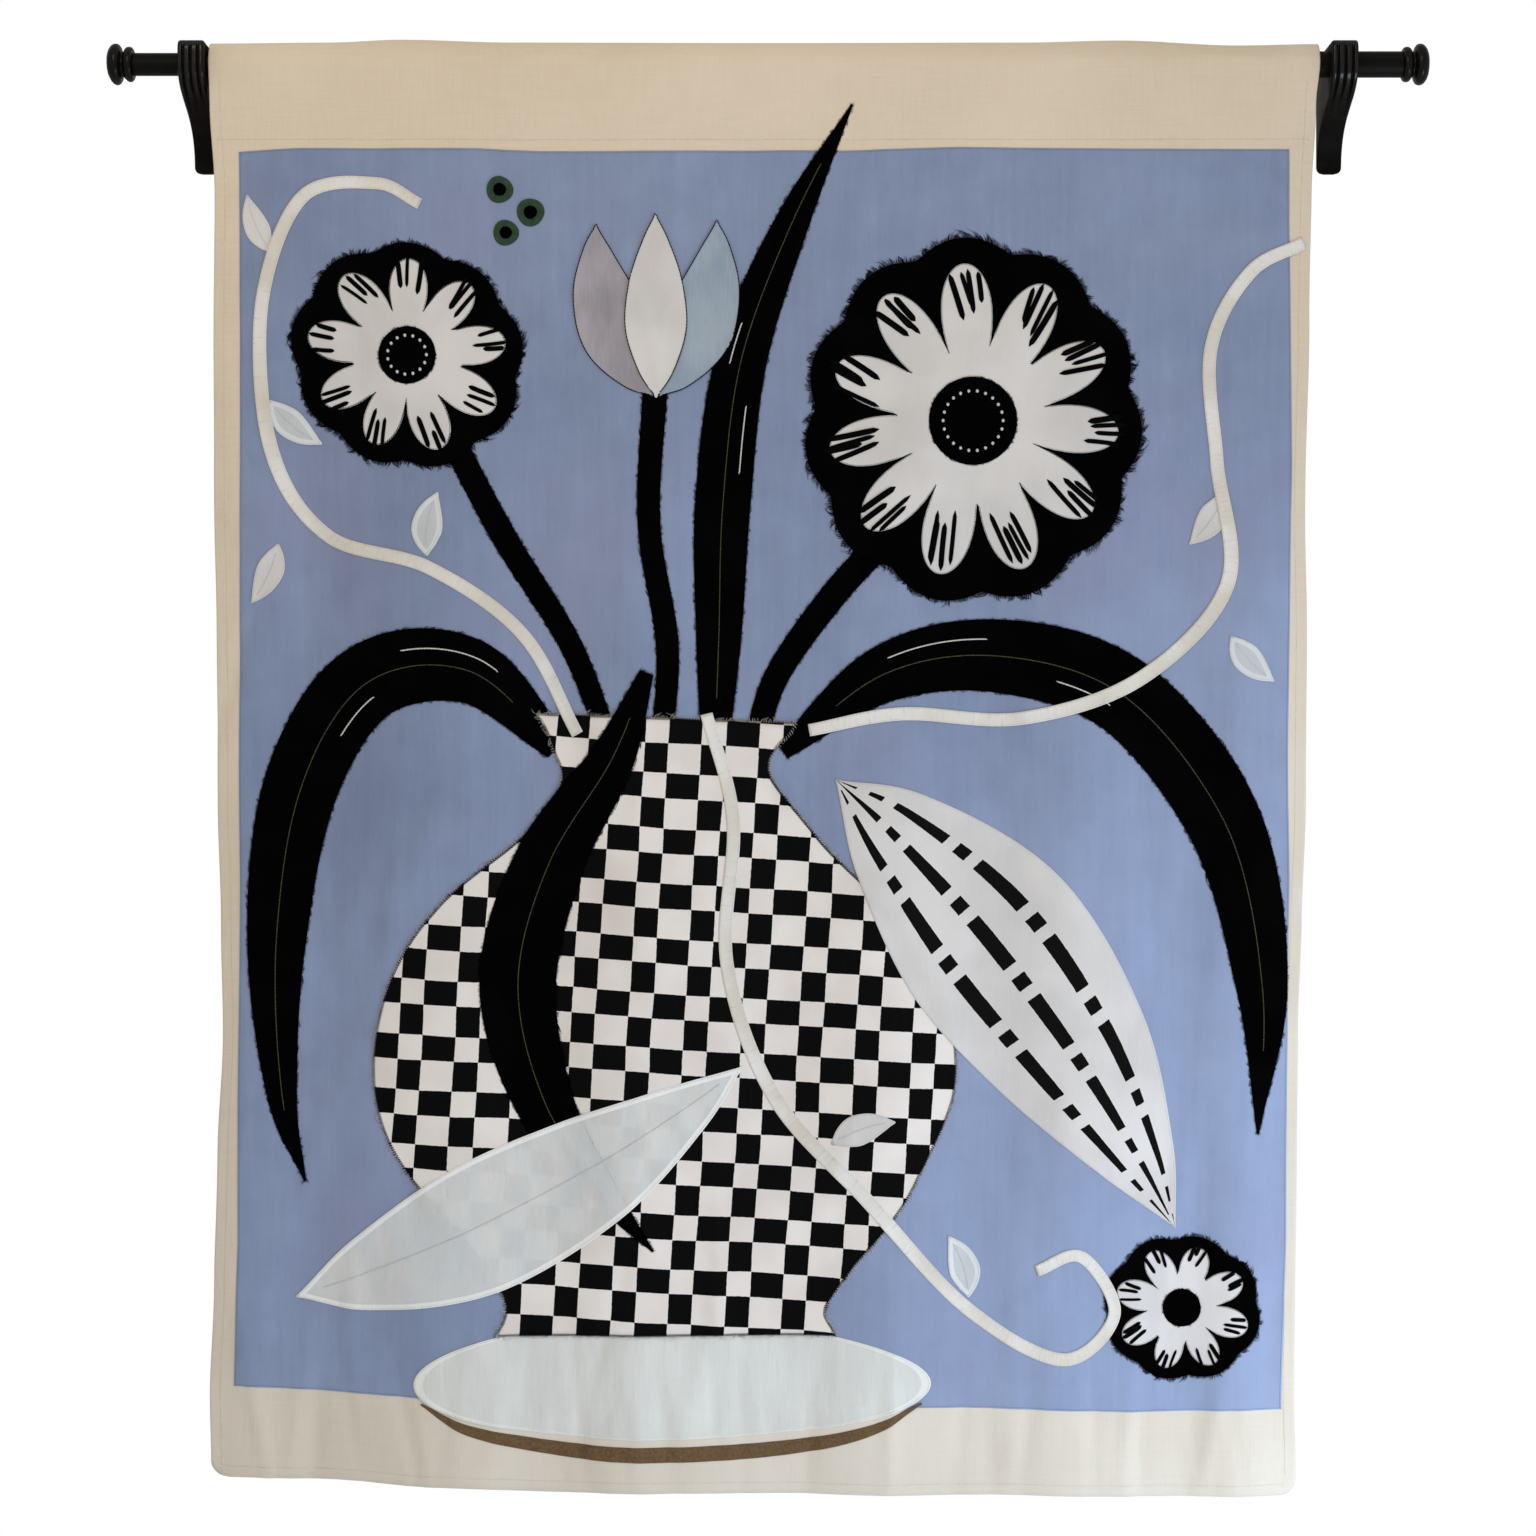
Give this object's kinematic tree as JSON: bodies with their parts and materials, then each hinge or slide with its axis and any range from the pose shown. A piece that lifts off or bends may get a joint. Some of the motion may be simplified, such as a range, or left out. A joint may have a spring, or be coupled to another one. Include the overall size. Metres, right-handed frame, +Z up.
{
  "type": "applique wall hanging on a curtain rod with wall brackets",
  "caption": "Cloth wall hanging with sewn-on applique of a checked vase and flowers, hung by its top sleeve from a telescoping black rod in wall brackets.",
  "frame": {"origin": "on the wall plane, level with the rod's axis, midway between the two brackets", "axes": "+Z up, +Y into the wall, so the hanging faces -Y, and +X to the right as seen from the front"},
  "size_m": [1.2926, 0.1, 1.4243],
  "materials": {
    "rod_paint": "black satin enamel on steel tube",
    "bracket_paint": "glossy black enamel on a casting",
    "cream_canvas": "plain-woven cream cotton canvas, matt",
    "blue_cotton": "plain-woven grey-blue cotton, matt",
    "checked_cotton": "cotton woven or printed in an uneven black and white check",
    "pale_organza": "sheer ice-white organza with a faint sheen",
    "brown_thread": "brown satin stitch",
    "black_cloth": "deep black brushed cotton with a frayed edge",
    "white_cotton": "plain-woven white cotton, matt",
    "lilac_satin": "lilac grey satin",
    "sky_satin": "pale blue satin",
    "bias_tape": "cream cotton bias tape, edges turned under",
    "green_thread": "dark green satin stitch"
  },
  "bodies": {
    "root": {"rod_outer_tube": "rod_paint", "rod_inner_tube": "rod_paint", "finial_right": "bracket_paint", "finial_left": "bracket_paint", "bracket_right": "bracket_paint", "bracket_left": "bracket_paint", "ground_cloth": "cream_canvas", "blue_field": "blue_cotton", "vase": "checked_cotton", "table_mat": "pale_organza", "table_mat_band": "brown_thread", "stem_right": "black_cloth", "stem_middle": "black_cloth", "stem_left": "black_cloth", "leaf_left": "black_cloth", "leaf_upright": "black_cloth", "leaf_right": "black_cloth", "leaf_falling": "black_cloth", "leaf_dashed": "white_cotton", "leaf_sheer": "pale_organza", "tulip_left": "lilac_satin", "tulip_right": "sky_satin", "tulip_middle": "white_cotton", "sprig_1": "pale_organza", "sprig_2": "white_cotton", "sprig_3": "pale_organza", "sprig_4": "white_cotton", "sprig_5": "pale_organza", "sprig_6": "white_cotton", "sprig_7": "white_cotton", "sprig_8": "pale_organza", "daisy_large_ground": "black_cloth", "daisy_large_petals": "white_cotton", "daisy_large_centre": "black_cloth", "daisy_left_ground": "black_cloth", "daisy_left_petals": "white_cotton", "daisy_left_centre": "black_cloth", "daisy_low_ground": "black_cloth", "daisy_low_petals": "white_cotton", "daisy_low_centre": "black_cloth", "vine_left": "bias_tape", "vine_right": "bias_tape", "vine_falling": "bias_tape", "berry_1": "green_thread", "berry_2": "green_thread", "berry_3": "green_thread"}
  },
  "joints": []
}
